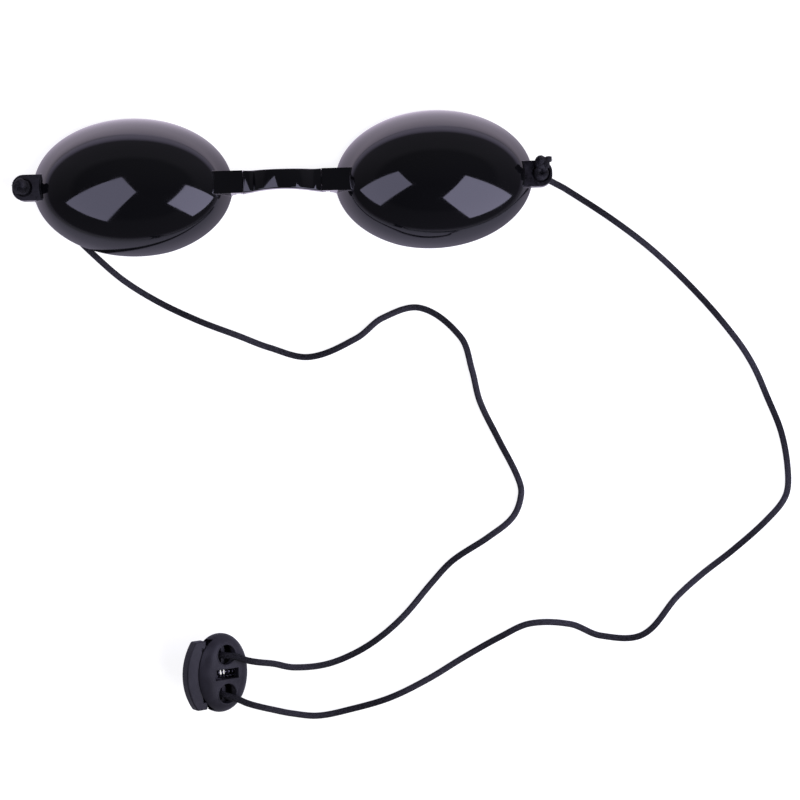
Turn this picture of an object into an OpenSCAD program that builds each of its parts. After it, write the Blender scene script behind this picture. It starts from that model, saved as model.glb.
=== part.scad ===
// Opaque eye shield goggles: two domed cups, a hinged nose bridge, an elastic head cord
// knotted into the temple lugs, and a spring cord lock on the loop of the cord.
// Millimetres. X runs along the goggles, +Z is away from the face, the rims rest on Z = 0.

/* [Cups] */
// Distance between the middles of the two cups
cup_spacing = 87; // [84:0.5:96]
// Length of a cup over its rim
cup_length = 58; // [52:0.1:59]
// Width of a cup at the table, before its rim is cut back
cup_width = 40; // [34:0.1:46]
// Height of the dome over the rim
cup_depth = 15.6; // [13:0.1:19]
// Thickness of the cup wall
cup_wall = 1.8; // [1.2:0.1:2.4]
// How far the rim is cut back at the temple
rim_lift = 3.6; // [2.8:0.1:3.9]
// Length of rim, from the cup's middle towards the nose, that the cut back takes in
rim_lift_start = 10.8; // [4:0.1:16]

/* [Temple lugs] */
// Reach of a lug beyond the middle of its cup
lug_reach = 32.3; // [31.5:0.1:36]
// Width of a lug
lug_width = 7.3; // [6:0.1:9]
// Thickness of a lug
lug_thick = 2.9; // [2.2:0.1:3.4]
// Height of the top face of all the lugs
lug_top = 6.9; // [6.4:0.1:7.6]
// Corner radius of a lug
lug_corner = 3.2; // [0.5:0.1:3.4]
// Bore for the cord
cord_bore = 3; // [2.4:0.1:3.2]
// Seat of the knot, across
knot_seat = 4.8; // [4.4:0.1:5.2]
// Seat of the knot, depth
knot_seat_deep = 0.7; // [0.3:0.1:1]

/* [Nose bridge] */
// Length of the strap between the two seams
bridge_span = 21.9; // [20:0.1:22.4]
// Rise of the arch over its ends
bridge_rise = 4; // [2.5:0.1:5.5]
// Width of the strap at its ends
bridge_end_width = 6.3; // [5:0.1:7]
// Width of the strap in the middle
bridge_mid_width = 5.4; // [4:0.1:6]
// Thickness of the strap at its ends and of the nose lugs
bridge_thick = 3.3; // [3.1:0.1:3.6]
// Thickness of the strap in the middle
bridge_mid_thick = 2.7; // [2.2:0.1:3.2]
// Gap at each seam between the strap and a nose lug
seam_gap = 0.15; // [0.1:0.05:0.3]
// Thickness of the lip that closes each seam from below
lip_thick = 0.65; // [0.4:0.05:0.8]
// How far round the knuckle that lip reaches, in degrees
lip_turn = 55; // [30:1:58]

/* [Hinges] */
// Diameter of the crossbar that each cup swings on
bar_d = 1.6; // [1.4:0.05:1.7]
// Radial play of the crossbar in its bore
bar_play = 0.05; // [0.02:0.01:0.1]
// Width of the tongue that carries the crossbar
tongue_width = 2.4; // [2:0.1:2.8]
// Width of the slit that the crossbar snaps in through
snap_slit = 1.2; // [0.9:0.05:1.35]

/* [Cord] */
// Diameter of the elastic cord
cord_d = 1.8; // [1.4:0.05:1.9]
// Width of a knot where it sits in its seat
knot_d = 3.9; // [3.4:0.1:4.2]
// Width of the turn of a knot that lies over on the lug
knot_turn = 3.3; // [2.6:0.1:3.6]
// How far that turn lies over at the left
left_lean = 1; // [0:0.1:1.6]
// How far that turn lies over at the right
right_lean = 2.2; // [0:0.1:2.6]

/* [Cord lock] */
// Length of the lock body, across the two cord holes
lock_length = 22; // [21.4:0.1:26]
// Width of the lock body
lock_width = 16.4; // [15.2:0.1:18]
// Thickness of the lock body
lock_thick = 8; // [7:0.1:9]
// Distance between the two cord holes
hole_pitch = 10.8; // [10.4:0.1:11.2]
// Diameter of the cord holes
hole_d = 5.6; // [5:0.1:6]
// Length of the window that shows the spring
window_length = 7.4; // [5:0.1:7.6]
// Width of that window
window_width = 2.9; // [2:0.1:3.2]
// Tilt of the lock as it lies on the table
lock_tilt = 37; // [30:1:42]

/* [Plunger and spring] */
// Length of the plunger's cap
cap_length = 19; // [17.6:0.1:19.2]
// Radius of the cap's outer face
cap_radius = 16.5; // [14:0.5:22]
// Length of the slab behind the cap
slab_length = 16; // [15.6:0.1:16.4]
// Thickness of the plunger
plunger_thick = 3.2; // [2.6:0.1:3.4]
// How far the cap stands out of the body
cap_out = 2.95; // [2.8:0.05:3.6]
// Travel of the plunger
travel = 3; // [2.4:0.1:3.05]
// Thickness of the bars that clamp the cord
clamp_bar = 1.1; // [0.8:0.1:1.2]
// Outside diameter of the spring
spring_d = 3; // [2.6:0.1:3.1]
// Wire diameter of the spring
wire_d = 0.4; // [0.3:0.02:0.45]
// Number of curls of the spring
spring_curls = 6; // [4:1:7]

/* [Clearances] */
// Clearance between pieces that move apart
gap = 0.3; // [0.2:0.05:0.4]

/* [Hidden] */

plastic = [0.06, 0.06, 0.07];
cord_black = [0.10, 0.10, 0.11];
lock_grey = [0.22, 0.21, 0.25];
steel = [0.75, 0.76, 0.78];

// The dome is part of a spheroid about a long axis that lies below the rim
cup_x = cup_spacing / 2;
dome_r = (pow(cup_width / 2, 2) + pow(cup_depth, 2)) / (2 * cup_depth);
dome_drop = dome_r - cup_depth;
dome_a = cup_length * dome_r / cup_width;
function wall_at(z) = dome_a * sqrt(1 - pow((z + dome_drop) / dome_r, 2));
temple_x = cup_x + wall_at(rim_lift);
lug_bottom = lug_top - lug_thick;
lug_tip = cup_x + lug_reach;
hole_x = lug_tip - 3.2;
knot_z = lug_top - knot_seat_deep;

// The hinge axis sits at the middle of a lug's thickness, and its tip is round below
seam_x = bridge_span / 2;
knuckle_r = bridge_thick / 2 - 0.15;
hinge_x = seam_x + seam_gap + knuckle_r;
hinge_z = lug_top - bridge_thick / 2 - 0.15;
bridge_bottom = hinge_z - knuckle_r;
bar_r = bar_d / 2;

// Radius of the cord, and the height of its middle when it lies on the table
cord_r = cord_d / 2;
cord_z = 1;

// Lock frame: u is the way the plunger is pressed, v runs along the row, w is the hole axis
round_r = lock_thick / 2;
core_u = lock_width / 2 - round_r;
core_v = lock_length / 2 - round_r;
lock_x = -21.3;
lock_y = -137.4;
lock_z = round_r + core_u * sin(lock_tilt);
function lock_point(p) = [
  lock_x + p[0] * cos(lock_tilt) + p[2] * sin(lock_tilt),
  lock_y + p[1],
  lock_z - p[0] * sin(lock_tilt) + p[2] * cos(lock_tilt)
];
cap_face = lock_width / 2 + cap_out;
clamp_u = -hole_d / 2 + 0.15 + cord_r;
bar_left = clamp_u + cord_r + gap;
bar_right = bar_left + clamp_bar;
spring_seat = clamp_u - 0.1;
spring_end = lock_width / 2 - 2.7;
cap_inner = -5;
window_left = -hole_d / 2 - travel - 0.4;
beam_half = spring_d / 2 + 1.2;
channel_half = spring_d / 2 + 0.25;

// Points of the cord as it lies, chosen by hand
left_stub = [
  [0, 0, knot_z], [0, 0, 4.6], [0.3, -0.4, 3.1], [1.6, -1.7, 2], [4, -4.3, 1.2], [8.5, -9, cord_z],
  [18.6, -19.3, cord_z]
];
right_stub = [
  [0, 0, knot_z], [0, 0, 4.6], [0.4, -0.2, 3.1], [2, -0.9, 1.9], [4.4, -2.1, 1.1], [7.2, -3.6, cord_z]
];
left_route = [
  [-53.8, -19.5, 1], [-46, -26.5, 1], [-36, -33, 1], [-25, -38.5, 1], [-14, -43, 1],
  [-5.5, -46.5, 1], [6, -49.5, 1], [19.5, -44.5, 1], [27, -39, 1], [38, -36.5, 1],
  [49, -45, 1], [52, -54.5, 1], [54, -63.5, 1], [59, -74.5, 1], [64, -85, 1], [65, -90, 1],
  [62.5, -96.5, 1], [55.5, -102, 1], [45, -108.5, 1], [39, -114.5, 1], [31, -123.5, 1],
  [24, -129.5, 1], [16.5, -134, 1], [8, -137, 1], [-1, -137.5, 1.5],
  [-6.5, -136, 3.2], [-10.5, -135, 5.8], [-13.5, -134, 7.9]
];
right_route = [
  [-14, -146.5, 7.9], [-11, -147.5, 5.6], [-7, -149, 3.2], [-2, -150.5, 1.6], [5.5, -151.5, 1],
  [14.5, -150, 1], [26, -147, 1], [37, -142, 1], [47.5, -136, 1], [58, -130.5, 1],
  [66.5, -127, 1], [78, -127.5, 1], [86.5, -131, 1], [98.5, -131, 1], [108.5, -120.5, 1],
  [115.5, -114.5, 1], [125, -107.5, 1], [134.5, -99.5, 1], [140, -93, 1], [141, -86.5, 1],
  [139.5, -75, 1], [135.5, -64, 1], [132, -55.5, 1], [127.5, -48, 1], [118, -36, 1],
  [105.5, -23, 1], [94, -13.5, 1], [80, -3.8, 1]
];
// One half of the turn through the lock, in the lock's own frame, from the face to the middle
loop_half = [
  [2.4, 4.7, 5.6], [-0.4, 5.3, 4.3], [-1.5, 5.4, 2.2], [-1.7, 5.4, 0], [-1.7, 5.4, -3.8],
  [-2.2, 5.3, -6.4], [-2.9, 4.5, -8.4], [-4, 2.5, -9.6]
];
loop_foot = [-4.5, 0, -10.2];

function flip_v(p) = [p[0], -p[1], p[2]];
function reversed(l) = [for (i = [len(l) - 1 : -1 : 0]) l[i]];
// The lower strand leaves its hole a little further out than the upper one
loop_out = concat([[2.4, -6.9, 5.6], [-0.4, -5.8, 4.3]], [for (i = [2 : len(loop_half) - 1]) flip_v(loop_half[i])]);
loop_route = [for (p = concat(loop_half, [loop_foot], reversed(loop_out))) lock_point(p)];

// Sweep of a round tube along points, with rings that turn as little as they can
function unit(v) = v / norm(v);
function heading(p, i) =
  i == 0 ? unit(p[1] - p[0]) :
  i == len(p) - 1 ? unit(p[i] - p[i - 1]) :
  unit(unit(p[i + 1] - p[i]) + unit(p[i] - p[i - 1]));
function across(t, n) = unit(n - t * (n * t));
function carried(t, n, i = 0, out = []) =
  i == len(t) ? out :
  let (m = across(t[i], n)) carried(t, m, i + 1, concat(out, [m]));
// It sweeps the points from first to last of a route. The rings at both ends follow the whole
// route, so that the next length of the same cord meets it face to face.
module tube(p, r, sides = 8, first = 0, last = undef) {
  stop = is_undef(last) ? len(p) - 1 : last;
  t = [for (i = [0 : len(p) - 1]) heading(p, i)];
  start = abs(t[0][2]) > 0.9 ? [1, 0, 0] : [0, 0, 1];
  n = carried(t, start);
  points = [for (i = [first : stop]) for (k = [0 : sides - 1])
    p[i] + r * (cos(360 * k / sides) * n[i] + sin(360 * k / sides) * cross(t[i], n[i]))];
  end = (stop - first) * sides;
  walls = [for (i = [0 : stop - first - 1]) for (k = [0 : sides - 1])
    let (a = i * sides + k, b = i * sides + (k + 1) % sides)
    for (f = [[a, a + sides, b + sides], [a, b + sides, b]]) f];
  caps = [for (k = [1 : sides - 2]) for (f = [[0, k, k + 1], [end, end + k + 1, end + k]]) f];
  polyhedron(points, concat(walls, caps), convexity = 10);
}

// Half profile of a spheroid, to be spun about its long axis
function spheroid(a, r, steps = 40) =
  [for (i = [0 : steps]) [r * sin(180 * i / steps), -a * cos(180 * i / steps)]];
module dome(inset) {
  translate([cup_x, 0, -dome_drop]) rotate([0, 90, 0])
    rotate_extrude($fn = 96) polygon(spheroid(dome_a - inset, dome_r - inset));
}

module rounded_bar(length, width, round) {
  corner = min(round, width / 2 - 0.1);
  translate([-1, -width / 2]) square([length - corner + 1, width]);
  translate([-1, corner - width / 2]) square([length + 1, width - 2 * corner]);
  for (s = [-1, 1]) translate([length - corner, s * (width / 2 - corner)]) circle(corner, $fn = 48);
}

// The lug at the temple, with the seat that its knot is pulled down into
module temple_lug() {
  root = cup_x + wall_at(lug_top) - 1;
  translate([root, 0, lug_bottom]) linear_extrude(lug_thick)
    rounded_bar(lug_tip - root, lug_width, lug_corner);
}

// The lug at the nose, in side view: flat on top, round below its tip, swept down to the rim
module nose_lug() {
  root = cup_x - wall_at(lug_top) + 1;
  foot = cup_x - wall_at(0) + 0.3;
  sweep_x = foot - hinge_x;
  rotate([90, 0, 0]) linear_extrude(bridge_end_width, center = true) union() {
    translate([hinge_x, hinge_z]) circle(knuckle_r, $fn = 48);
    translate([hinge_x - knuckle_r, hinge_z]) square([root - hinge_x + knuckle_r, lug_top - hinge_z]);
    polygon(concat(
      [[hinge_x, hinge_z + 0.5], [root, hinge_z + 0.5], [root, 0]],
      [for (t = [0 : 10 : 90]) [hinge_x + sweep_x * cos(t), bridge_bottom * sin(t)]]
    ));
  }
}

// Room for the crossbar, the tongue and the snap slit
module hinge_socket() {
  far = hinge_x + bar_r + gap;
  translate([hinge_x, 0, hinge_z]) rotate([90, 0, 0])
    cylinder(h = bridge_end_width + 2, r = bar_r + bar_play, center = true, $fn = 48);
  translate([hinge_x - snap_slit / 2, -bridge_end_width, bridge_bottom - 1])
    cube([snap_slit, 2 * bridge_end_width, hinge_z - bridge_bottom + 1]);
  translate([seam_x - 1, -tongue_width / 2 - gap, -1])
    cube([far - seam_x + 1, tongue_width + 2 * gap, hinge_z + bar_r + gap + 1]);
}

module rim_cut() {
  edge = temple_x - 0.05;
  rotate([90, 0, 0]) linear_extrude(cup_width + 10, center = true) polygon([
    [-5, -40], [-5, 0], [cup_x - rim_lift_start, 0], [edge, rim_lift], [lug_tip + 5, rim_lift],
    [lug_tip + 5, -40]
  ]);
}

module cup() {
  difference() {
    union() {
      dome(0);
      temple_lug();
      nose_lug();
    }
    dome(cup_wall);
    rim_cut();
    hinge_socket();
    translate([hole_x, 0, lug_bottom - 1]) cylinder(h = lug_thick + 2, d = cord_bore, $fn = 48);
    translate([hole_x, 0, knot_z]) cylinder(h = 5, d = knot_seat, $fn = 48);
  }
}
module right_cup() color(plastic) cup();
module left_cup() color(plastic) mirror([1, 0, 0]) cup();

// Side view of the strap: a crown arc that runs out into a reversed arc at each end
arc_sum = (pow(seam_x, 2) + pow(bridge_rise, 2)) / (2 * bridge_rise);
crown_r = 0.72 * arc_sum;
ease_r = arc_sum - crown_r;
crown_x = seam_x * crown_r / arc_sum;
function rise(x) =
  abs(x) <= crown_x ? bridge_rise - crown_r + sqrt(pow(crown_r, 2) - x * x) :
  ease_r - sqrt(max(0, pow(ease_r, 2) - pow(seam_x - abs(x), 2)));
function strap_thick(x) =
  bridge_mid_thick + (lug_top - bridge_bottom - bridge_mid_thick) * pow(abs(x) / seam_x, 2);
module nose_bridge() color(plastic) {
  steps = 24;
  xs = [for (i = [-steps / 2 : steps / 2]) seam_x * 2 * i / steps];
  waist = bridge_end_width - bridge_mid_width;
  intersection() {
    rotate([90, 0, 0]) linear_extrude(bridge_end_width, center = true) polygon(concat(
      [for (x = xs) [x, lug_top + rise(x)]],
      [for (x = reversed(xs)) [x, lug_top + rise(x) - strap_thick(x)]]
    ));
    linear_extrude(lug_top + bridge_rise + 2) polygon(concat(
      [for (x = xs) [x, (bridge_mid_width + waist * pow(x / seam_x, 2)) / 2]],
      [for (x = reversed(xs)) [x, -(bridge_mid_width + waist * pow(x / seam_x, 2)) / 2]]
    ));
  }
  for (s = [0, 1]) mirror([s, 0, 0]) {
    translate([seam_x - 1, -tongue_width / 2, hinge_z - bar_r])
      cube([hinge_x - seam_x + 1, tongue_width, bar_d]);
    translate([hinge_x, 0, hinge_z]) rotate([90, 0, 0])
      cylinder(h = bridge_end_width, r = bar_r, center = true, $fn = 48);
    seam_lip();
  }
}

// The lip follows the knuckle from the end of the strap, as far as the swing leaves it room
module seam_lip() {
  inner = knuckle_r + seam_gap;
  turns = [for (i = [0 : 6]) 180 + lip_turn * i / 6];
  translate([hinge_x, 0, hinge_z]) rotate([90, 0, 0])
    linear_extrude(bridge_end_width, center = true) polygon(concat(
      [for (a = turns) inner * [cos(a), sin(a)]],
      [for (a = reversed(turns)) (inner + lip_thick) * [cos(a), sin(a)]]
    ));
}

// A knot: the part pulled down into its seat, the turn that lies over on the lug, and the tail
module knot(way, lean, tail_way) {
  bead = knot_d / 2 - cord_r;
  turn_r = knot_turn / 2;
  turn_z = knot_seat_deep + turn_r + 0.1;
  translate([hole_x, 0, knot_z]) {
    rotate_extrude($fn = 48) difference() {
      union() {
        translate([bead, cord_r]) circle(cord_r, $fn = 32);
        translate([bead * 0.6, cord_r * 2.4]) circle(cord_r, $fn = 32);
        square([bead, cord_r * 3]);
      }
      translate([-knot_d, -1]) square([knot_d, 8]);
    }
    rotate([0, 0, way]) translate([lean, 0, turn_z]) {
      sphere(r = turn_r, $fn = 32);
      rotate([0, 68, tail_way]) cylinder(h = turn_r + 1.2, r = cord_r * 0.85, $fn = 24);
    }
  }
}
module right_knot() color(cord_black) knot(80, right_lean, 0);
module left_knot() color(cord_black) mirror([1, 0, 0]) knot(20, left_lean, -90);

module cord_left_lug() color(cord_black)
  tube([for (p = left_stub) p + [-hole_x, 0, 0]], cord_r);
module cord_right_lug() color(cord_black)
  tube([for (p = right_stub) p + [hole_x, 0, 0]], cord_r);
free_route = concat(left_route, loop_route, right_route);
loop_first = len(left_route);
loop_last = loop_first + len(loop_route) - 1;
module cord_left() color(cord_black) tube(free_route, cord_r, last = loop_first);
module cord_lock_loop() color(cord_black) tube(free_route, cord_r, first = loop_first, last = loop_last);
module cord_right() color(cord_black) tube(free_route, cord_r, first = loop_last);

module in_lock() {
  translate([lock_x, lock_y, lock_z]) rotate([0, lock_tilt, 0]) children();
}

// Room for the plunger: wide for the cap, narrower for the slab, then the spring's pocket
module plunger_room() {
  linear_extrude(plunger_thick + 2 * gap, center = true) {
    translate([-lock_width, -cap_length / 2 - gap])
      square([lock_width + cap_inner + travel + gap, cap_length + 2 * gap]);
    translate([-lock_width / 2, -slab_length / 2 - gap])
      square([lock_width / 2 + bar_right + travel + gap, slab_length + 2 * gap]);
    translate([0, -channel_half]) square([spring_end, 2 * channel_half]);
  }
}

module lock_body() color(lock_grey) in_lock() {
  difference() {
    hull() for (a = [0 : 15 : 345])
      translate([core_u * cos(a), core_v * sin(a), 0]) sphere(r = round_r, $fn = 32);
    plunger_room();
    for (s = [-1, 1]) translate([0, s * hole_pitch / 2, 0])
      cylinder(h = lock_thick + 2, d = hole_d, center = true, $fn = 48);
    cube([window_length, window_width, lock_thick + 2], center = true);
  }
  translate([spring_end - 1, 0, 0]) rotate([0, 90, 0])
    cylinder(h = 1.5, r = spring_d / 2 - wire_d - gap, $fn = 32);
}

module lock_plunger() color(lock_grey) in_lock() {
  linear_extrude(plunger_thick, center = true) difference() {
    union() {
      intersection() {
        translate([cap_radius - cap_face, 0]) circle(cap_radius, $fn = 96);
        translate([-cap_face - 1, -cap_length / 2]) square([cap_face + 1 + cap_inner, cap_length]);
      }
      translate([cap_inner - 1, -slab_length / 2]) square([bar_right - cap_inner + 1, slab_length]);
    }
    for (s = [-1, 1]) translate([(window_left + bar_left) / 2, s * (slab_length / 2 - 0.6 + beam_half) / 2])
      square([bar_left - window_left, slab_length / 2 - 0.6 - beam_half], center = true);
    translate([spring_seat, -channel_half]) square([lock_width, 2 * channel_half]);
  }
  translate([spring_seat - 0.5, 0, 0]) rotate([0, 90, 0])
    cylinder(h = 1.7, r = spring_d / 2 - wire_d - gap, $fn = 32);
}

// The spring: one unbroken wire, straight for a short way where it meets each seat
coil_r = (spring_d - wire_d) / 2;
coil_start = spring_seat + 0.1 + wire_d;
coil_end = spring_end - 0.1 - wire_d;
coil_steps = 8 * spring_curls;
coil_points = concat(
  [[spring_seat + 0.1, coil_r, 0]],
  [for (i = [0 : coil_steps])
    [coil_start + (coil_end - coil_start) * i / coil_steps,
     coil_r * cos(45 * i), coil_r * sin(45 * i)]],
  [[spring_end - 0.1, coil_r, 0]]
);
coil_gap = min([for (i = [1 : coil_steps - 7]) norm(coil_points[i + 8] - coil_points[i])]) - wire_d;
echo(spring_gap = coil_gap);
module lock_spring() color(steel) in_lock() tube(coil_points, wire_d / 2, 6);

left_cup();
right_cup();
nose_bridge();
left_knot();
right_knot();
cord_left_lug();
cord_left();
cord_lock_loop();
cord_right();
cord_right_lug();
lock_body();
lock_plunger();
lock_spring();
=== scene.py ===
import math
import bpy
import bmesh
from mathutils import Matrix, Vector
from mathutils.geometry import interpolate_bezier


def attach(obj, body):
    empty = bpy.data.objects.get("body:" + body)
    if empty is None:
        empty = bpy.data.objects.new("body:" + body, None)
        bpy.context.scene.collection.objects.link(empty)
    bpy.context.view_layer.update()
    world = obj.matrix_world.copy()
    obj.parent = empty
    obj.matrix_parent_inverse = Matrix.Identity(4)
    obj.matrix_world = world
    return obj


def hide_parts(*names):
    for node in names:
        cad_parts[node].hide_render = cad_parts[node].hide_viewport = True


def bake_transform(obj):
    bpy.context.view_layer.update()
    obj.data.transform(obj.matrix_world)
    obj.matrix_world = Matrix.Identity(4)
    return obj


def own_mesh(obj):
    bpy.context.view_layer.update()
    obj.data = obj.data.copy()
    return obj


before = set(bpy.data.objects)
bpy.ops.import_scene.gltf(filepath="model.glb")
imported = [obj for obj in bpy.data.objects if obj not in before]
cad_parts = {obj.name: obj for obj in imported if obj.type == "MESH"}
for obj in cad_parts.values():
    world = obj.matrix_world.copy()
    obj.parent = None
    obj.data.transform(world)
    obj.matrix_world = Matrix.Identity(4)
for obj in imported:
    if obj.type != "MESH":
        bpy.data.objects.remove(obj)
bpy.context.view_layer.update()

scene = bpy.context.scene
mm = 0.001

# Camera
# The goggles lie on a white table and are seen from straight above, with the row turned a
# little in the picture. 800 pixels take in 228 mm of the table from 415 mm away.
eye_z = 415
seen_width = 228
sensor = 36
overhead = bpy.data.objects.new("overhead_camera", bpy.data.cameras.new("overhead_camera"))
overhead.data.sensor_width = sensor
overhead.data.lens = sensor * eye_z / seen_width
overhead.location = (31.3 * mm, -62.45 * mm, eye_z * mm)
overhead.rotation_euler = (0, 0, math.radians(-1.6))
scene.collection.objects.link(overhead)
scene.camera = overhead
scene.view_settings.view_transform = "Standard"

# Head cord
# One length of round elastic cord, a rubber core braided over with black polyester yarn. It starts
# in the knot at the left temple, lies loose on the table, turns back through the cord lock and
# ends in the knot at the right temple. It is drawn as two halves that meet inside the turn.
cord_r = 0.9
cord_z = 1
hole_x = 72.6
knot_z = 6.2
left_stub = [
    (0, 0, knot_z), (0, 0, 4.6), (0.3, -0.4, 3.1), (1.6, -1.7, 2), (4, -4.3, 1.2),
    (8.5, -9, cord_z),
]
right_stub = [
    (0, 0, knot_z), (0, 0, 4.6), (0.4, -0.2, 3.1), (2, -0.9, 1.9), (4.4, -2.1, 1.1),
]
left_route = [
    (-53.8, -19.5, 1), (-46, -26.5, 1), (-36, -33, 1), (-25, -38.5, 1), (-14, -43, 1),
    (-5.5, -46.5, 1), (6, -49.5, 1), (19.5, -44.5, 1), (27, -39, 1), (38, -36.5, 1),
    (49, -45, 1), (52, -54.5, 1), (54, -63.5, 1), (59, -74.5, 1), (64, -85, 1), (65, -90, 1),
    (62.5, -96.5, 1), (55.5, -102, 1), (45, -108.5, 1), (39, -114.5, 1), (31, -123.5, 1),
    (24, -129.5, 1), (16.5, -134, 1), (8, -137, 1), (-1, -137.5, 1.5),
    (-6.5, -136, 3.2), (-10.5, -135, 5.8), (-13.5, -134, 7.9),
]
right_route = [
    (-13.8, -145.95, 8), (-11, -147.4, 5.7), (-7, -149, 3.2), (-2, -150.5, 1.6), (5.5, -151.5, 1),
    (14.5, -150, 1), (26, -147, 1), (37, -142, 1), (47.5, -136, 1), (58, -130.5, 1),
    (66.5, -127, 1), (78, -127.5, 1), (86.5, -131, 1), (98.5, -131, 1), (108.5, -120.5, 1),
    (115.5, -114.5, 1), (125, -107.5, 1), (134.5, -99.5, 1), (140, -93, 1), (141, -86.5, 1),
    (139.5, -75, 1), (135.5, -64, 1), (132, -55.5, 1), (127.5, -48, 1), (118, -36, 1),
    (105.5, -23, 1), (94, -13.5, 1), (80, -3.8, 1),
]
# The turn through the lock, in the lock's own frame: u is the way the plunger is pressed,
# v runs along the row of cups and w is the axis of the cord holes
loop_half = [
    (2.4, 4.7, 5.6), (-0.4, 5.3, 4.3), (-1.5, 5.4, 2.2), (-1.7, 5.4, 0), (-1.7, 5.4, -3.8),
    (-2.2, 5.3, -6.4), (-2.9, 4.5, -8.4), (-4, 2.5, -9.6),
]
loop_foot = (-4.5, 0, -10.2)
loop_out = [(2.4, -7.15, 5.6), (-0.4, -5.9, 4.3)] + [(u, -v, w) for u, v, w in loop_half[2:]]

lock_tilt = math.radians(37)
lock_seat = Matrix.Translation((-21.3, -137.4, 4 + 4.2 * math.sin(lock_tilt))) @ Matrix.Rotation(
    lock_tilt, 4, "Y")


def through(points, spacing=0.4, samples=24):
    """A smooth line through given points, as evenly spaced places."""
    places = [Vector(p) for p in points]
    fine = [places[0]]
    for i in range(len(places) - 1):
        a, b = places[i], places[i + 1]
        before, after = places[max(i - 1, 0)], places[min(i + 2, len(places) - 1)]
        reach = (b - a).length / 3
        handle_a = a + (b - before).normalized() * reach
        handle_b = b - (after - a).normalized() * reach
        fine += interpolate_bezier(a, handle_a, handle_b, b, samples)[1:]
    even, left = [fine[0]], spacing
    for a, b in zip(fine, fine[1:]):
        step = (b - a).length
        while step >= left:
            a = a.lerp(b, left / step)
            even.append(a)
            step, left = (b - a).length, spacing
        left -= step
    even[-1] = fine[-1]
    return even


def length_of(line):
    """The length of a line of places."""
    return sum((b - a).length for a, b in zip(line, line[1:]))


def round_tube(name, line, radius, around=4):
    """A round tube along a line of places in millimetres, with a UV map that runs along it."""
    curve = bpy.data.curves.new(name, "CURVE")
    curve.dimensions = "3D"
    curve.twist_mode = "MINIMUM"
    curve.bevel_depth = radius * mm
    curve.bevel_resolution = around
    curve.use_fill_caps = True
    spline = curve.splines.new("POLY")
    spline.points.add(len(line) - 1)
    for point, place in zip(spline.points, line):
        point.co = (place[0] * mm, place[1] * mm, place[2] * mm, 1)
    drawn = bpy.data.objects.new(name + "_line", curve)
    scene.collection.objects.link(drawn)
    graph = bpy.context.evaluated_depsgraph_get()
    mesh = bpy.data.meshes.new_from_object(drawn.evaluated_get(graph))
    bpy.data.objects.remove(drawn)
    mesh.name = name
    mesh.uv_layers[0].name = "UVMap"
    mesh.shade_smooth()
    piece = bpy.data.objects.new(name, mesh)
    scene.collection.objects.link(piece)
    return piece


def tone(hex_colour):
    """A colour written in sRGB, as the linear values that a shader takes."""
    parts = [int(hex_colour[i:i + 2], 16) / 255 for i in (1, 3, 5)]
    return tuple(c / 12.92 if c <= 0.04045 else ((c + 0.055) / 1.055) ** 2.4 for c in parts) + (1,)


def add(material, kind, inputs=(), **settings):
    """Adds one node with its settings, and links or sets its inputs."""
    made = material.node_tree.nodes.new(kind)
    for name, value in settings.items():
        setattr(made, name, value)
    for name, value in dict(inputs).items():
        if isinstance(value, bpy.types.NodeSocket):
            material.node_tree.links.new(value, made.inputs[name])
        else:
            made.inputs[name].default_value = value
    return made


def blank(name):
    """A material with nothing but its surface and output."""
    material = bpy.data.materials.new(name)
    material.use_nodes = True
    return material, material.node_tree.nodes["Principled BSDF"]


def maths(material, operation, *values):
    """The result of one math node."""
    return add(material, "ShaderNodeMath", dict(enumerate(values)), operation=operation).outputs[0]


def noise(material, place, scale, detail, roughness=0.5):
    """Cloudy noise with so many waves a metre."""
    return add(material, "ShaderNodeTexNoise", {
        "Vector": place, "Scale": scale, "Detail": detail, "Roughness": roughness}).outputs[0]


def ramp(material, value, stops):
    """A colour ramp over a value, from its places and colours in rising order."""
    made = add(material, "ShaderNodeValToRGB", {0: value})
    elements = made.color_ramp.elements
    for i in (0, -1):
        elements[i].position, elements[i].color = stops[i]
    for place, shade in stops[1:-1]:
        elements.new(place).color = shade
    return made.outputs[0]


def bumped(material, height, strength, depth):
    """The normal over a pattern that is so many millimetres deep."""
    return add(material, "ShaderNodeBump", {
        "Height": height, "Strength": strength, "Distance": depth * mm}).outputs[0]


def fit(material, surface, results):
    """Links each result to the surface's input of that name."""
    for name, result in results.items():
        material.node_tree.links.new(result, surface.inputs[name])


def braided_polyester(name, length, crown_sheen="#37363d"):
    """Black braided polyester sleeve over rubber: matt, with painted sheen on the tops of the yarns
    and painted shade in the gaps between them.
    """
    material, surface = blank(name)
    surface.inputs["Roughness"].default_value = 0.6
    surface.inputs["Specular IOR Level"].default_value = 0.12
    place = add(material, "ShaderNodeUVMap", uv_map="UVMap").outputs["UV"]
    split = add(material, "ShaderNodeSeparateXYZ", {"Vector": place}).outputs
    # Eight yarns run each way round the sleeve, and they cross every 0.9 mm of its length
    wave = 1.8
    along = maths(material, "MULTIPLY", split["Y"], length / wave * math.tau)
    around = maths(material, "MULTIPLY", split["X"], 4 * math.tau)
    right_hand = maths(material, "ADD", along, around)
    left_hand = maths(material, "SUBTRACT", along, around)
    weave = maths(material, "MULTIPLY", maths(material, "SINE", right_hand),
                  maths(material, "SINE", left_hand))
    spot = add(material, "ShaderNodeTexCoord").outputs["Object"]
    fibre = noise(material, spot, 2600, 2, 0.6)
    mixed = maths(material, "MULTIPLY_ADD", weave, 0.35, fibre)
    # The braid is painted into the colour: the tops of the yarns lighter as painted sheen, the gaps
    # between them darker as painted shade, with random fibre tone over it
    fit(material, surface, {
        "Base Color": ramp(material, mixed, ((0.2, tone("#050506")), (0.9, tone(crown_sheen)))),
        "Normal": bumped(material, mixed, 0.7, 0.12)})
    return material


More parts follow.
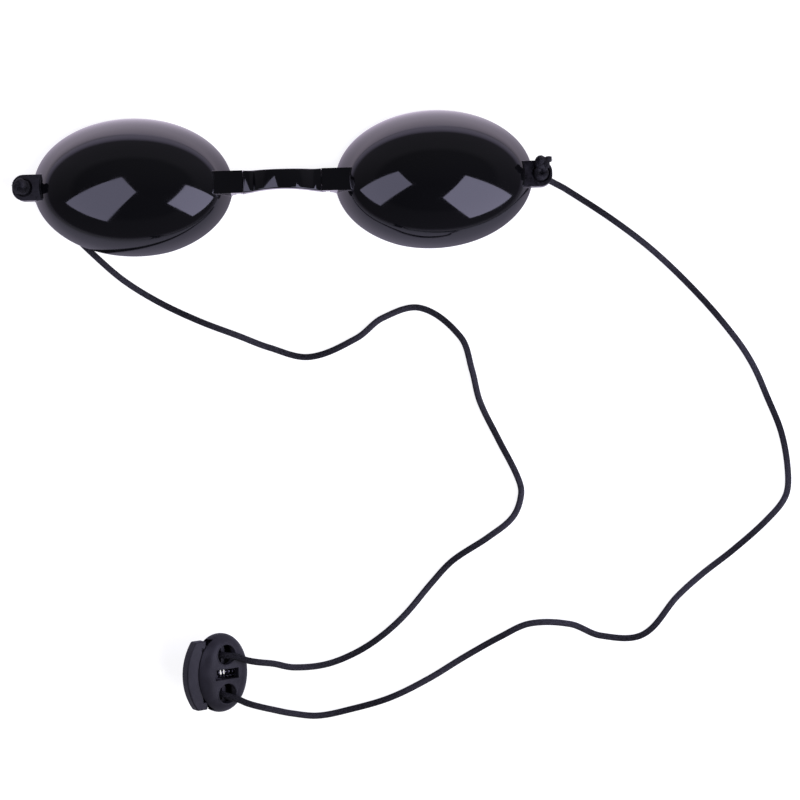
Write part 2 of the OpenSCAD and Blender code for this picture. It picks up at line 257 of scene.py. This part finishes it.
lock_turn = [tuple(lock_seat @ Vector(p)) for p in loop_half + [loop_foot] + loop_out[::-1]]
foot = lock_seat @ Vector(loop_foot)
whole_cord = through(
    [(x - hole_x, y, z) for x, y, z in left_stub] + left_route + lock_turn + right_route
    + [(x + hole_x, y, z) for x, y, z in right_stub[::-1]])
middle = min(range(len(whole_cord)), key=lambda i: (whole_cord[i] - foot).length)
for side, line, nodes, body, start, end in (
    ("left", whole_cord[:middle + 1], ("cord_left_lug", "cord_left"),
     "left_cup", (-57, -17, 0), (-25, -40, 0)),
    ("right", whole_cord[middle:][::-1], ("cord_right_lug", "cord_right", "cord_lock_loop"),
     "right_cup", (79, -3.5, 0), (98, -60, 0)),
):
    length = length_of(line)
    cord = round_tube("elastic_cord_" + side, line, cord_r)
    cord.data.materials.append(braided_polyester("braided_polyester_" + side, length))
    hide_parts(*nodes)
    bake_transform(cord)

# Knots
# Each end of the cord comes up through its lug and is tied in one tight overhand knot, pulled
# down into the round seat so that its first turn fills it, and cut off short. The right one lies
# over towards the brow side.
def overhand(t):
    """A place on the trefoil line that a tight overhand knot follows."""
    wide = 0.98 + 0.5 * math.cos(3 * t)
    return Vector((wide * math.cos(2 * t), wide * math.sin(2 * t), 0.66 * math.sin(3 * t)))


def joined(name, pieces):
    """One mesh object from several, with their own normals kept."""
    with bpy.context.temp_override(active_object=pieces[0], object=pieces[0],
                                   selected_objects=pieces, selected_editable_objects=pieces):
        bpy.ops.object.join()
    pieces[0].name = name
    pieces[0].data.name = name
    return pieces[0]


knot_r = 0.88
yarn_r = 0.07
yarn_count = 14
for side, mirror, centre, lean, turn, narrow, tail in (
    ("left", -1, (0.2, 0, 2.45), 8, 200, 1.0, [(1.5, 0.6, 2.6), (1.9, 0.8, 2.4)]),
    ("right", 1, (0.35, 2.8, 2.6), 35, 60, 0.95, [(1.9, 3.5, 2.9), (2.4, 3.5, 2.7)]),
):
    seat = (Matrix.Translation(centre) @ Matrix.Rotation(math.radians(lean), 4, "X")
            @ Matrix.Diagonal((narrow, 1, 1, 1)) @ Matrix.Rotation(math.radians(turn), 4, "Z"))
    places = [(0, 0, -0.7), (0, 0, 0.4)]
    places += [(1.25 * math.cos(a), 1.25 * math.sin(a), 0.85 + 0.08 * a) for a in range(1, 8)]
    places += [seat @ overhand(math.radians(a)) for a in range(20, 341, 8)]
    places += tail
    line = [Vector((mirror * (p.x + hole_x), p.y, p.z + knot_z)) for p in through(places)]
    strands = [round_tube("overhand_knot_" + side, line, knot_r, 5)]
    # The yarns stand out at the cut end like a short brush
    end, way = line[-1], (line[-1] - line[-3]).normalized()
    sideways = way.orthogonal().normalized()
    for i in range(yarn_count):
        out = Matrix.Rotation(i * 2.4, 3, way) @ sideways * (0.12 + 0.045 * i)
        tip = end + out * 1.25 + way * (0.35 + 0.4 * ((i * 5) % 7) / 7)
        strands.append(round_tube("yarn", [end + out - way * 0.2, end + out, tip], yarn_r, 1))
    knot = joined("overhand_knot_" + side, strands)
    # The knots' yarns get a darker painted sheen than the cord's
    knot.data.materials.append(
        braided_polyester("braided_knot_" + side, length_of(line), "#2c2b30"))
    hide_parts(side + "_knot")
    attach(knot, side + "_cup")

# Eye cups
# Two opaque shields injection moulded in one piece with their lugs from black polycarbonate, in a
# polished tool. Each is a thin dome with a flat rim that is cut back a little at the temple.
dome_a = 29.9
dome_r = 20.62
dome_drop = 5.02
cup_x = 43.5
wall = 1.8
lip_r = 0.35
rim_slope = 3.6 / 37.91
lug_top = 6.9
lug_bottom = 4.0
temple_half = 3.65
temple_reach = 32.3
bore_r = 1.5
seat_r = 2.4
nose_half = 3.15
slot_half = 1.5
knuckle_r = 1.5
hinge_x = 12.6
hinge_z = 5.1
crossbar_r = 0.8
crossbar_bore_r = 0.85


def remap(material, value, source, target):
    """Maps a range of a value to another, and holds the ends beyond it."""
    return add(material, "ShaderNodeMapRange", {
        "Value": value, "From Min": source[0], "From Max": source[1], "To Min": target[0],
        "To Max": target[1]}).outputs[0]


def polished_polycarbonate():
    """Black polycarbonate from a polished mould: deep black, with clear sharp reflections."""
    material, surface = blank("polished_black_polycarbonate")
    surface.inputs["Base Color"].default_value = tone("#08080a")
    surface.inputs["IOR"].default_value = 1.55
    place = add(material, "ShaderNodeTexCoord").outputs["Object"]
    # Handling haze in patches of about 6 mm, and a moulded waviness 4 mm long
    haze = noise(material, place, 160, 5, 0.62)
    sink = noise(material, place, 240, 0)
    fit(material, surface, {
        "Roughness": remap(material, haze, (0.35, 0.75), (0.045, 0.11)),
        "Normal": bumped(material, sink, 0.35, 0.02)})
    return material


def stoned_polycarbonate():
    """The same plastic where the tool was only stoned: the lugs, dull and a little uneven."""
    material, surface = blank("stoned_black_polycarbonate")
    surface.inputs["IOR"].default_value = 1.55
    surface.inputs["Specular IOR Level"].default_value = 0.16
    place = add(material, "ShaderNodeTexCoord").outputs["Object"]
    # Scuffs in patches of about 1 mm, and a fine stoned grain
    scuffs = noise(material, place, 900, 4, 0.65)
    grain = noise(material, place, 3600, 2)
    fit(material, surface, {
        "Base Color": ramp(material, scuffs, ((0.35, tone("#0c0b0e")), (0.75, tone("#201f24")))),
        "Roughness": remap(material, scuffs, (0.35, 0.7), (0.24, 0.5)),
        "Normal": bumped(material, grain, 0.4, 0.03)})
    return material


black_plastic = polished_polycarbonate()
dull_plastic = stoned_polycarbonate()


def new_piece(name, shape, material):
    """An object at the origin from a bmesh in millimetres."""
    bmesh.ops.scale(shape, vec=(mm, mm, mm), verts=shape.verts)
    mesh = bpy.data.meshes.new(name)
    shape.to_mesh(mesh)
    shape.free()
    mesh.shade_smooth()
    mesh.materials.append(material)
    piece = bpy.data.objects.new(name, mesh)
    scene.collection.objects.link(piece)
    return piece


def box(shape, low, high):
    """Adds a block between two corners and gives its vertices back."""
    verts = bmesh.ops.create_cube(shape, size=1)["verts"]
    size = [b - a for a, b in zip(low, high)]
    bmesh.ops.scale(shape, vec=size, verts=verts)
    bmesh.ops.translate(shape, vec=[(a + b) / 2 for a, b in zip(low, high)], verts=verts)
    return verts


def rod(shape, radius, length, seat, sides=64):
    """Adds a round bar that stands on the origin of its seat and gives its vertices back."""
    verts = bmesh.ops.create_cone(shape, cap_ends=True, segments=sides, radius1=radius,
                                  radius2=radius, depth=length)["verts"]
    bmesh.ops.transform(shape, matrix=seat @ Matrix.Translation((0, 0, length / 2)), verts=verts)
    return verts


def drawn_out(shape, faces, way):
    """Draws flat faces out into a solid."""
    grown = bmesh.ops.extrude_face_region(shape, geom=faces)["geom"]
    bmesh.ops.translate(shape, vec=way,
                        verts=[g for g in grown if isinstance(g, bmesh.types.BMVert)])
    bmesh.ops.recalc_face_normals(shape, faces=shape.faces)


def rounded(shape, edges, radius, segments):
    """Rounds chosen edges of a shape that isn't a piece yet."""
    bmesh.ops.bevel(shape, geom=edges, offset=radius, offset_type="OFFSET", segments=segments,
                    profile=0.5, affect="EDGES", material=-1)


def carve(piece, make_cutter):
    """Cuts one block or bar out of a piece."""
    tool = bmesh.new()
    make_cutter(tool)
    cutter = new_piece("cutter", tool, black_plastic)
    cut = piece.modifiers.new("cut", "BOOLEAN")
    cut.operation = "DIFFERENCE"
    cut.solver = "EXACT"
    cut.object = cutter
    settle(piece)
    bpy.data.objects.remove(cutter)


def settle(piece):
    """Makes what the modifiers give the piece's own mesh."""
    graph = bpy.context.evaluated_depsgraph_get()
    mesh = bpy.data.meshes.new_from_object(piece.evaluated_get(graph))
    piece.modifiers.clear()
    piece.data = mesh


def soften(piece, width, segments=3, angle=30):
    """Rounds the sharp edges of a piece, as a moulding tool leaves them."""
    bevel = piece.modifiers.new("soften", "BEVEL")
    bevel.width = width * mm
    bevel.segments = segments
    bevel.limit_method = "ANGLE"
    bevel.angle_limit = math.radians(angle)
    bevel.harden_normals = True
    settle(piece)


def wall_x(z, y=0, inset=0):
    """How far the outside of a dome lies from the cup's middle."""
    reach = 1 - ((z + dome_drop) ** 2 + y * y) / (dome_r - inset) ** 2
    return (dome_a - inset) * math.sqrt(max(reach, 0))


def rim_angle(phi, a, r):
    """Angle from the pole at which the dome meets its rim."""
    low, high = 0.5, math.pi / 2
    for _ in range(40):
        angle = (low + high) / 2
        z = r * math.cos(angle) - dome_drop
        cut = max(0, rim_slope * (10.8 + a * math.sin(angle) * math.cos(phi)))
        low, high = (angle, high) if z > cut else (low, angle)
    return low


def dome_skin(shape, inset):
    """Half a sphere whose rings are drawn down to the rim of the cup."""
    a, r = dome_a - inset, dome_r - inset
    verts = bmesh.ops.create_uvsphere(shape, u_segments=144, v_segments=112, radius=1)["verts"]
    below = [v for v in verts if v.co.z < -0.001]
    verts = [v for v in verts if v.co.z >= -0.001]
    bmesh.ops.delete(shape, geom=below, context="VERTS")
    for v in verts:
        phi = math.atan2(v.co.y, v.co.x)
        angle = math.acos(min(1, max(-1, v.co.z))) / (math.pi / 2) * rim_angle(phi, a, r)
        v.co = (cup_x + a * math.sin(angle) * math.cos(phi), r * math.sin(angle) * math.sin(phi),
                r * math.cos(angle) - dome_drop)
    return verts


def cup_dome():
    """A hollow dome whose rim has rounded corners inside and out."""
    shape = bmesh.new()
    dome_skin(shape, 0)
    inner = set(dome_skin(shape, wall))
    bmesh.ops.reverse_faces(shape, faces=[f for f in shape.faces if inner.issuperset(f.verts)])
    edges = [e for e in shape.edges if e.is_boundary]
    rim = set(bmesh.ops.bridge_loops(shape, edges=edges)["faces"])
    rounded(shape, [e for e in shape.edges if len({f in rim for f in e.link_faces}) == 2],
            lip_r, 3)
    bmesh.ops.recalc_face_normals(shape, faces=shape.faces)
    return new_piece("dome", shape, black_plastic)


def temple_lug():
    """The lug at the temple, with its hole and the seat of the knot."""
    shape = bmesh.new()
    root = cup_x + wall_x(lug_top) - 1
    tip = cup_x + temple_reach
    box(shape, (root, -temple_half, lug_bottom), (tip, temple_half, lug_top))
    corners = [e for e in shape.edges if all(v.co.x > tip - 0.1 for v in e.verts)
               and abs(e.verts[0].co.z - e.verts[1].co.z) > 1]
    rounded(shape, corners, 3.2, 12)
    lug = new_piece("temple_lug", shape, dull_plastic)
    carve(lug, lambda tool: rod(tool, bore_r, 12, Matrix.Translation((hole_x, 0, 0))))
    carve(lug, lambda tool: rod(tool, seat_r, 6, Matrix.Translation((hole_x, 0, knot_z))))
    soften(lug, 0.25)
    return lug


def crosswise(x, half, z):
    """The seat of a bar across the goggles that starts at their brow side."""
    return Matrix.Translation((x, half, z)) @ Matrix.Rotation(math.pi / 2, 4, "X")


def nose_lug():
    """The lug at the nose: flat on top, round at its tip, swept down to the rim below."""
    shape = bmesh.new()
    bottom = hinge_z - knuckle_r
    foot = cup_x - wall_x(0) + 0.3
    quarter = [math.radians(a) for a in range(0, 90, 10)]
    side = [(cup_x - wall_x(z) + 0.9, z) for z in (0.05, 1.5, 3, 4.5, 6, lug_top)]
    side += [(hinge_x + 0.5, lug_top), (hinge_x - knuckle_r, lug_top)]
    side += [(hinge_x - knuckle_r * math.cos(t), hinge_z - knuckle_r * math.sin(t))
             for t in quarter]
    side += [(hinge_x + (foot - hinge_x) * math.sin(t), bottom * math.cos(t)) for t in quarter]
    face = shape.faces.new([shape.verts.new((x, -nose_half, z)) for x, z in side])
    drawn_out(shape, [face], (0, 2 * nose_half, 0))
    lug = new_piece("nose_lug", shape, black_plastic)
    # The bore of the crossbar, the slot of the tongue and the slit that the crossbar snaps through
    carve(lug, lambda tool: rod(tool, crossbar_bore_r, 8, crosswise(hinge_x, 4, hinge_z), 40))
    carve(lug, lambda tool: box(tool, (9.8, -slot_half, -1),
                                (hinge_x + 1.1, slot_half, hinge_z + 1.1)))
    carve(lug, lambda tool: box(tool, (hinge_x - 0.6, -4, bottom - 1), (hinge_x + 0.6, 4, hinge_z)))
    soften(lug, 0.13)
    return lug


def root_fillet(side, half_width, low, reach):
    """The small hollow round where a lug runs into the dome, closed at the back."""
    c = 0.35
    path = [(-half_width, low + (lug_top - c - low) * i / 8, -1, 0) for i in range(9)]
    path += [(-half_width + c * (1 - math.cos(t)), lug_top - c + c * math.sin(t),
              -math.cos(t), math.sin(t)) for t in (0.4, 0.8, 1.2)]
    path += [((half_width - c) * i / 10, lug_top, 0, 1) for i in range(-10, 1)]
    path += [(-y, z, -ny, nz) for y, z, ny, nz in path[-2::-1]]
    shape = bmesh.new()
    cols = 8
    verts = bmesh.ops.create_grid(shape, x_segments=cols - 1, y_segments=len(path) - 1,
                                  size=1)["verts"]
    verts.sort(key=lambda v: (round(v.co.y, 4), round(v.co.x, 4)))
    for row, (y, z, ny, nz) in enumerate(path):
        wall_at = wall_x(z, y)
        corner = Vector((wall_at, y, z))
        out = Vector((wall_at + reach, y, z))
        up = Vector((wall_x(z + nz * reach, y + ny * reach), y + ny * reach, z + nz * reach))
        for col in range(cols):
            v = verts[row * cols + col]
            t = col / 5
            if col <= 5:
                p = out * (1 - t) ** 2 + corner * 2 * t * (1 - t) + up * t * t
            else:
                p = corner - Vector((0.3, ny * 0.3, nz * 0.3)) if col == 6 else out
            v.co = (cup_x + side * p.x, p.y, p.z)
    bmesh.ops.remove_doubles(shape, verts=shape.verts, dist=1e-5)
    bmesh.ops.holes_fill(shape, edges=[e for e in shape.edges if e.is_boundary], sides=0)
    bmesh.ops.recalc_face_normals(shape, faces=shape.faces)
    return new_piece("root_fillet", shape, black_plastic)


def mirrored(piece, name):
    """The same moulding for the other side, with its faces turned the right way again."""
    twin = piece.copy()
    twin.data = piece.data.copy()
    twin.name = twin.data.name = name
    scene.collection.objects.link(twin)
    twin.data.transform(Matrix.Scale(-1, 4, (1, 0, 0)))
    twin.data.flip_normals()
    return twin


right_cup = joined("moulded_cup_right", [
    cup_dome(), temple_lug(), nose_lug(),
    root_fillet(1, temple_half, 4.1, 0.22), root_fillet(-1, nose_half, 0.4, 0.22)])
left_cup = mirrored(right_cup, "moulded_cup_left")
for side, cup in (("right", right_cup), ("left", left_cup)):
    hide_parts(side + "_cup")
    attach(cup, side + "_cup")

# Nose bridge
# A short strap of the same plastic, bowed up over the nose. A tongue at each end runs into the
# slot of its lug and carries a moulded crossbar that is snapped up into the bore from below.
seam_x = 10.95
tongue_half = 1.2
tongue_thick = 1.6
bridge_rise = 4
arc_sum = (seam_x ** 2 + bridge_rise ** 2) / (2 * bridge_rise)
crown_r = 0.72 * arc_sum
ease_r = arc_sum - crown_r
crown_x = seam_x * crown_r / arc_sum


def rise(x):
    """Height of the strap's top over its ends."""
    if abs(x) <= crown_x:
        return bridge_rise - crown_r + math.sqrt(crown_r ** 2 - x * x)
    return ease_r - math.sqrt(max(0, ease_r ** 2 - (seam_x - abs(x)) ** 2))


strap = bmesh.new()
box(strap, (-1, -1, -1), (1, 1, 1))
long_edges = [e for e in strap.edges if abs(e.verts[0].co.x - e.verts[1].co.x) > 1]
bmesh.ops.subdivide_edges(strap, edges=long_edges, cuts=63, use_grid_fill=True)
for v in strap.verts:
    x = v.co.x * seam_x
    half = (5.4 + 0.9 * (x / seam_x) ** 2) / 2
    thick = 2.7 + 0.6 * (x / seam_x) ** 2
    v.co = (x, v.co.y * half, lug_top + rise(x) - (thick if v.co.z < 0 else 0))
long_rims = [e for e in strap.edges if e.calc_face_angle(0) > 0.7
             and abs(e.verts[0].co.x - e.verts[1].co.x) > 0.01]
rounded(strap, long_rims, 0.38, 4)
end_rims = [e for e in strap.edges if e.calc_face_angle(0) > 0.7
            and all(abs(v.co.x) > seam_x - 0.01 for v in e.verts)]
rounded(strap, end_rims, 0.1, 2)
bmesh.ops.recalc_face_normals(strap, faces=strap.faces)
parts = [new_piece("strap", strap, black_plastic)]
for side in (-1, 1):
    tongue = bmesh.new()
    ends = sorted((side * 10, side * (hinge_x + 0.55)))
    box(tongue, (ends[0], -tongue_half, hinge_z - tongue_thick / 2),
        (ends[1], tongue_half, hinge_z + tongue_thick / 2))
    tongue_piece = new_piece("tongue", tongue, black_plastic)
    soften(tongue_piece, 0.3)
    bar = bmesh.new()
    rod(bar, crossbar_r, 6.2, crosswise(side * hinge_x, 3.1, hinge_z), 40)
    bar_piece = new_piece("crossbar", bar, black_plastic)
    soften(bar_piece, 0.12, 2)
    # A lip on the strap follows the knuckle and closes the seam from below
    lip = bmesh.new()
    round_under = [(r * math.cos(math.radians(a)), r * math.sin(math.radians(a)))
                   for r, turn in ((1.65, range(175, 236, 5)), (2.3, range(235, 174, -5)))
                   for a in turn]
    face = lip.faces.new([lip.verts.new((side * (hinge_x + x), -nose_half, hinge_z + z))
                          for x, z in round_under])
    drawn_out(lip, [face], (0, 2 * nose_half, 0))
    lip_piece = new_piece("seam_lip", lip, black_plastic)
    soften(lip_piece, 0.1, 2)
    parts += [tongue_piece, bar_piece, lip_piece]
bridge = joined("moulded_nose_bridge", parts)
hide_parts("nose_bridge")
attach(bridge, "bridge")

# Cord lock body
# A flattened oval cord lock injection moulded from dark grey acetal in a spark-eroded tool, so it
# is satin. Two round holes pass the cord, and a slot between them shows the spring.
def satin_acetal():
    """Dark grey acetal with a fine eroded grain: soft wide highlights, no clear reflection."""
    material, surface = blank("satin_grey_acetal")
    surface.inputs["IOR"].default_value = 1.48
    surface.inputs["Specular IOR Level"].default_value = 0.22
    place = add(material, "ShaderNodeTexCoord").outputs["Object"]
    # The grain is about 0.2 mm, drawn at 0.3 mm so that it shows
    grain = noise(material, place, 3300, 3, 0.7)
    cloud = noise(material, place, 220, 4)
    fit(material, surface, {
        "Base Color": ramp(material, cloud, ((0.3, tone("#1e1d22")), (0.75, tone("#2a292f")))),
        "Roughness": remap(material, grain, (0.3, 0.7), (0.36, 0.5)),
        "Normal": bumped(material, grain, 0.3, 0.03)})
    return material


grey_plastic = satin_acetal()
round_r = 4
core_u = 4.2
core_v = 7
cord_hole_v = 5.4
cord_hole_r = 2.8
pin_r = 0.8


def oval_reach(phi):
    """The place on the oval core that a round edge facing phi is centred on."""
    u, v = math.cos(phi), math.sin(phi)
    size = math.hypot(core_u * u, core_v * v)
    return core_u ** 2 * u / size, core_v ** 2 * v / size


def face_height(u, v):
    """Height of the lock's face over its middle plane."""
    best = min(math.hypot(u - a, v - b) for a, b in
               (oval_reach(math.tau * i / 240) for i in range(240)))
    inside = (u / core_u) ** 2 + (v / core_v) ** 2 <= 1
    return round_r if inside else math.sqrt(max(0, round_r ** 2 - best ** 2))


def seated(piece):
    """Lays a piece of the lock, made in the lock's own frame, where the lock lies."""
    lay = lock_seat.copy()
    lay.translation = lock_seat.translation * mm
    piece.data.transform(lay)
    return piece


def lengthwise(u):
    """The seat of a pin that points the way in which the plunger is pressed."""
    return Matrix.Translation((u, 0, 0)) @ Matrix.Rotation(math.pi / 2, 4, "Y")


shell = bmesh.new()
verts = bmesh.ops.create_uvsphere(shell, u_segments=128, v_segments=48, radius=round_r)["verts"]
poles = [v for v in verts if math.hypot(v.co.x, v.co.y) < 0.01]
bmesh.ops.delete(shell, geom=poles, context="VERTS")
for v in shell.verts:
    u, w = oval_reach(math.atan2(v.co.y, v.co.x))
    v.co.x += u
    v.co.y += w
bmesh.ops.holes_fill(shell, edges=[e for e in shell.edges if e.is_boundary], sides=0)
bmesh.ops.recalc_face_normals(shell, faces=shell.faces)
lock = new_piece("lock_shell", shell, grey_plastic)
# Room for the cap, the slab and the spring, and the window
for back, front, v, w in ((-16, -1.7, 9.8, 1.9), (-8, 3.85, 8.3, 1.9), (0, 5.5, 1.75, 1.9),
                          (-3.7, 3.7, 1.45, 6)):
    carve(lock, lambda tool: box(tool, (back, -v, -w), (front, v, w)))
for v in (-cord_hole_v, cord_hole_v):
    carve(lock, lambda tool: rod(tool, cord_hole_r, 12, Matrix.Translation((0, v, -6))))
soften(lock, 0.12, 2, 40)
lips = []
lip_at = cord_hole_r + 0.15
for v in (-cord_hole_v, cord_hole_v):
    for up in (-1, 1):
        ring = [(math.cos(a) * lip_at, v + math.sin(a) * lip_at) for a in
                (math.tau * i / 64 for i in range(65))]
        line = [(x, y, up * (face_height(x, y) - 0.18)) for x, y in ring]
        lip = round_tube("hole_lip", line, 0.26, 3)
        lip.data.materials.append(grey_plastic)
        lips.append(lip)
spigot = bmesh.new()
rod(spigot, pin_r, 1.5, lengthwise(4.5), 32)
spigot_piece = new_piece("spigot", spigot, grey_plastic)
soften(spigot_piece, 0.15)
lock = seated(joined("lock_moulding", [lock, spigot_piece] + lips))
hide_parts("lock_body")
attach(lock, "bridge")

# Cord lock plunger
# The thumb button and its slab are one moulding of the same acetal. The slab slides in the body,
# and the inner bars of its two windows pinch the cord against the far side of the holes.
button = bmesh.new()
cap_face = 11.15
cap_r = 16.5
slab_half = 1.6
ring = bmesh.ops.create_circle(button, cap_ends=True, segments=160, radius=cap_r)["verts"]
bmesh.ops.translate(button, vec=(cap_r - cap_face, 0, 0), verts=ring)
for place, way in (((-5, 0, 0), (1, 0, 0)), ((0, 9.5, 0), (0, 1, 0)), ((0, -9.5, 0), (0, -1, 0))):
    bmesh.ops.bisect_plane(button, geom=button.verts[:] + button.edges[:] + button.faces[:],
                           plane_co=place, plane_no=way, clear_outer=True)
drawn_out(button, button.faces[:], (0, 0, 2 * slab_half))
bmesh.ops.translate(button, vec=(0, 0, -slab_half), verts=button.verts)
plunger = new_piece("plunger_cap", button, grey_plastic)
slab = bmesh.new()
box(slab, (-6, -8, -slab_half), (0.55, 8, slab_half))
slide = new_piece("plunger_slab", slab, grey_plastic)
# The two windows that the cord passes, and the room for the spring
for v in (-5.05, 5.05):
    for moulded in (plunger, slide):
        carve(moulded, lambda tool: box(tool, (-6.2, v - 2.35, -3), (-0.55, v + 2.35, 3)))
soften(plunger, 0.4, 4)
carve(slide, lambda tool: box(tool, (-1.85, -1.75, -3), (3, 1.75, 3)))
soften(slide, 0.15, 2)
seat_pin = bmesh.new()
rod(seat_pin, pin_r, 1.7, lengthwise(-2.35), 32)
seat_piece = new_piece("seat_pin", seat_pin, grey_plastic)
soften(seat_piece, 0.15)
plunger = seated(joined("plunger_moulding", [plunger, slide, seat_piece]))
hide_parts("lock_plunger")
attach(plunger, "plunger")

# Spring
# A compression spring wound from 0.4 mm stainless wire. It sits on a pin at each end and pushes
# the plunger out, so that the cord stays pinched.
def drawn_steel():
    """Drawn stainless wire: bright, with fine draw marks along it."""
    material, surface = blank("drawn_stainless_wire")
    surface.inputs["Base Color"].default_value = tone("#7a797f")
    surface.inputs["Metallic"].default_value = 1
    place = add(material, "ShaderNodeUVMap", uv_map="UVMap").outputs["UV"]
    marks = add(material, "ShaderNodeMapping", {"Vector": place, "Scale": (40, 6, 1)}).outputs[0]
    fit(material, surface, {
        "Roughness": remap(material, noise(material, marks, 1, 3), (0, 1), (0.1, 0.22))})
    return material


coil_r = 1.3
wire_r = 0.2
coil_start, coil_end = -1.35, 5.0
spring_end = 5.4
turns = 6
steps = 32
coil = [Vector((-1.75, coil_r, 0))]
for i in range(steps * turns + 1):
    angle = math.tau * i / steps
    u = coil_start + (coil_end - coil_start) * i / (steps * turns)
    coil.append(Vector((u, coil_r * math.cos(angle), coil_r * math.sin(angle))))
coil.append(Vector((spring_end, coil_r, 0)))
spring = seated(round_tube("wound_spring", coil, wire_r, 4))
spring.data.materials.append(drawn_steel())
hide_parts("lock_spring")
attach(spring, "bridge")
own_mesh(spring)

# Table and light
# A plain white table top, and two soft lamps close by on the left and the right, a little
# towards the viewer, in an otherwise dim room.
table_mesh = bmesh.new()
bmesh.ops.create_grid(table_mesh, x_segments=1, y_segments=1, size=4000)
white, white_surface = blank("white_table_paper")
table = new_piece("white_table", table_mesh, white)
white.node_tree.nodes.remove(white_surface)
own_level = 0.86
seen = add(white, "ShaderNodeLightPath").outputs
whole = maths(white, "MAXIMUM", seen["Is Camera Ray"], seen["Is Transmission Ray"])
straight = maths(white, "MULTIPLY", whole, own_level)
# Seen only in reflections, the table glows with painted light: brighter beyond the goggles, and
# darker on the viewer's side and far out to the left and right
spot = add(white, "ShaderNodeTexCoord").outputs["Object"]
depth = add(white, "ShaderNodeSeparateXYZ", {"Vector": spot}).outputs
painted_reflection_tint = ramp(white, remap(white, depth["Y"], (-0.1, 0.3), (0, 1)), (
    (0, (0.08, 0.075, 0.12, 1)), (0.18, (0.17, 0.155, 0.23, 1)), (0.25, (0.4, 0.35, 0.46, 1)),
    (0.34, (0.76, 0.66, 0.83, 1)), (0.5, (0.72, 0.62, 0.8, 1)), (1, (0.61, 0.54, 0.74, 1))))
hue = add(white, "ShaderNodeMix", {
    0: seen["Is Glossy Ray"], 6: (1, 1, 1, 1), 7: painted_reflection_tint}, data_type="RGBA")
painted_reflection_fade = remap(white, maths(white, "ABSOLUTE", depth["X"]), (0.08, 0.22), (2, 1.1))
painted_reflection_level = maths(white, "MULTIPLY", seen["Is Glossy Ray"], painted_reflection_fade)
level = maths(white, "MAXIMUM", straight, painted_reflection_level)
# One glow: plain white to the camera, and the painted reflection light in glossy rays
white_and_painted_reflection = add(white, "ShaderNodeEmission", {"Color": hue.outputs[2], "Strength": level})
paper = add(white, "ShaderNodeBsdfDiffuse", {"Color": tone("#a0a0a0")})
both = add(white, "ShaderNodeAddShader", {0: white_and_painted_reflection.outputs[0], 1: paper.outputs[0]})
white.node_tree.links.new(both.outputs[0], white.node_tree.nodes["Material Output"].inputs[0])

for name, centre, along, across, size, strength in (
    ("left_lamp", (-90.4, -39.1, 142), (66, 80, 152), (39, -101, 24), (184, 102), 1.9),
    ("right_lamp", (117, -86, 107), (60, -57, -131), (-46, -124, 24), (155, 134), 2.9),
):
    along, across = Vector(along).normalized(), Vector(across).normalized()
    facing = along.cross(across).normalized()
    if facing.dot(Vector((0, 0, 10)) - Vector(centre)) < 0:
        facing.negate()
    across = along.cross(facing)
    lamp = bpy.data.lights.new(name, "AREA")
    lamp.shape = "RECTANGLE"
    lamp.size, lamp.size_y = size[0] * mm, size[1] * mm
    lamp.energy = strength * math.pi * lamp.size * lamp.size_y
    lamp.color = (0.95, 0.92, 1.3)
    stand = bpy.data.objects.new(name, lamp)
    turned = Matrix((along, -across, -facing)).transposed().to_4x4()
    turned.translation = Vector(centre) * mm
    stand.matrix_world = turned
    stand.visible_camera = False
    scene.collection.objects.link(stand)

# Soft light from the lock's face side, which the polished surfaces don't mirror
soft_sun = bpy.data.lights.new("soft_side_light", "SUN")
soft_sun.energy = 2.6
soft_sun.angle = math.radians(40)
side_light = bpy.data.objects.new("soft_side_light", soft_sun)
side_light.rotation_euler = Vector((0.72, -0.32, 0.62)).to_track_quat("Z", "Y").to_euler()
side_light.visible_glossy = False
scene.collection.objects.link(side_light)

room = bpy.data.worlds.new("dim_room")
scene.world = room
room.use_nodes = True
sky = room.node_tree.nodes["Background"]
view = add(room, "ShaderNodeTexCoord").outputs["Generated"]
heading = add(room, "ShaderNodeSeparateXYZ", {"Vector": view}).outputs
# The pale foot of the far wall reaches a little higher than that of the others
raised = maths(room, "MULTIPLY_ADD", heading["Y"], -0.09, heading["Z"])
leaning = maths(room, "MULTIPLY_ADD", maths(room, "ABSOLUTE", heading["X"]), 0.06, raised)
walls = ramp(room, leaning, (
    (0, (1.08, 0.98, 1.34, 1)), (0.06, (0.88, 0.8, 1.13, 1)), (0.11, (0.55, 0.5, 0.7, 1)),
    (0.15, (0.19, 0.18, 0.22, 1)), (0.6, (0.16, 0.155, 0.18, 1)), (0.7, (0.08, 0.08, 0.09, 1))))
near_side = remap(room, heading["Y"], (-0.2, 0.6), (0.4, 1))
# Seen directly, the room is as white as the table
direct = add(room, "ShaderNodeLightPath").outputs["Is Camera Ray"]
shown = add(room, "ShaderNodeMix", {0: direct, 6: walls, 7: (1, 1, 1, 1)}, data_type="RGBA")
fit(room, sky, {"Color": shown.outputs[2], "Strength": maths(room, "MAXIMUM", near_side, direct)})
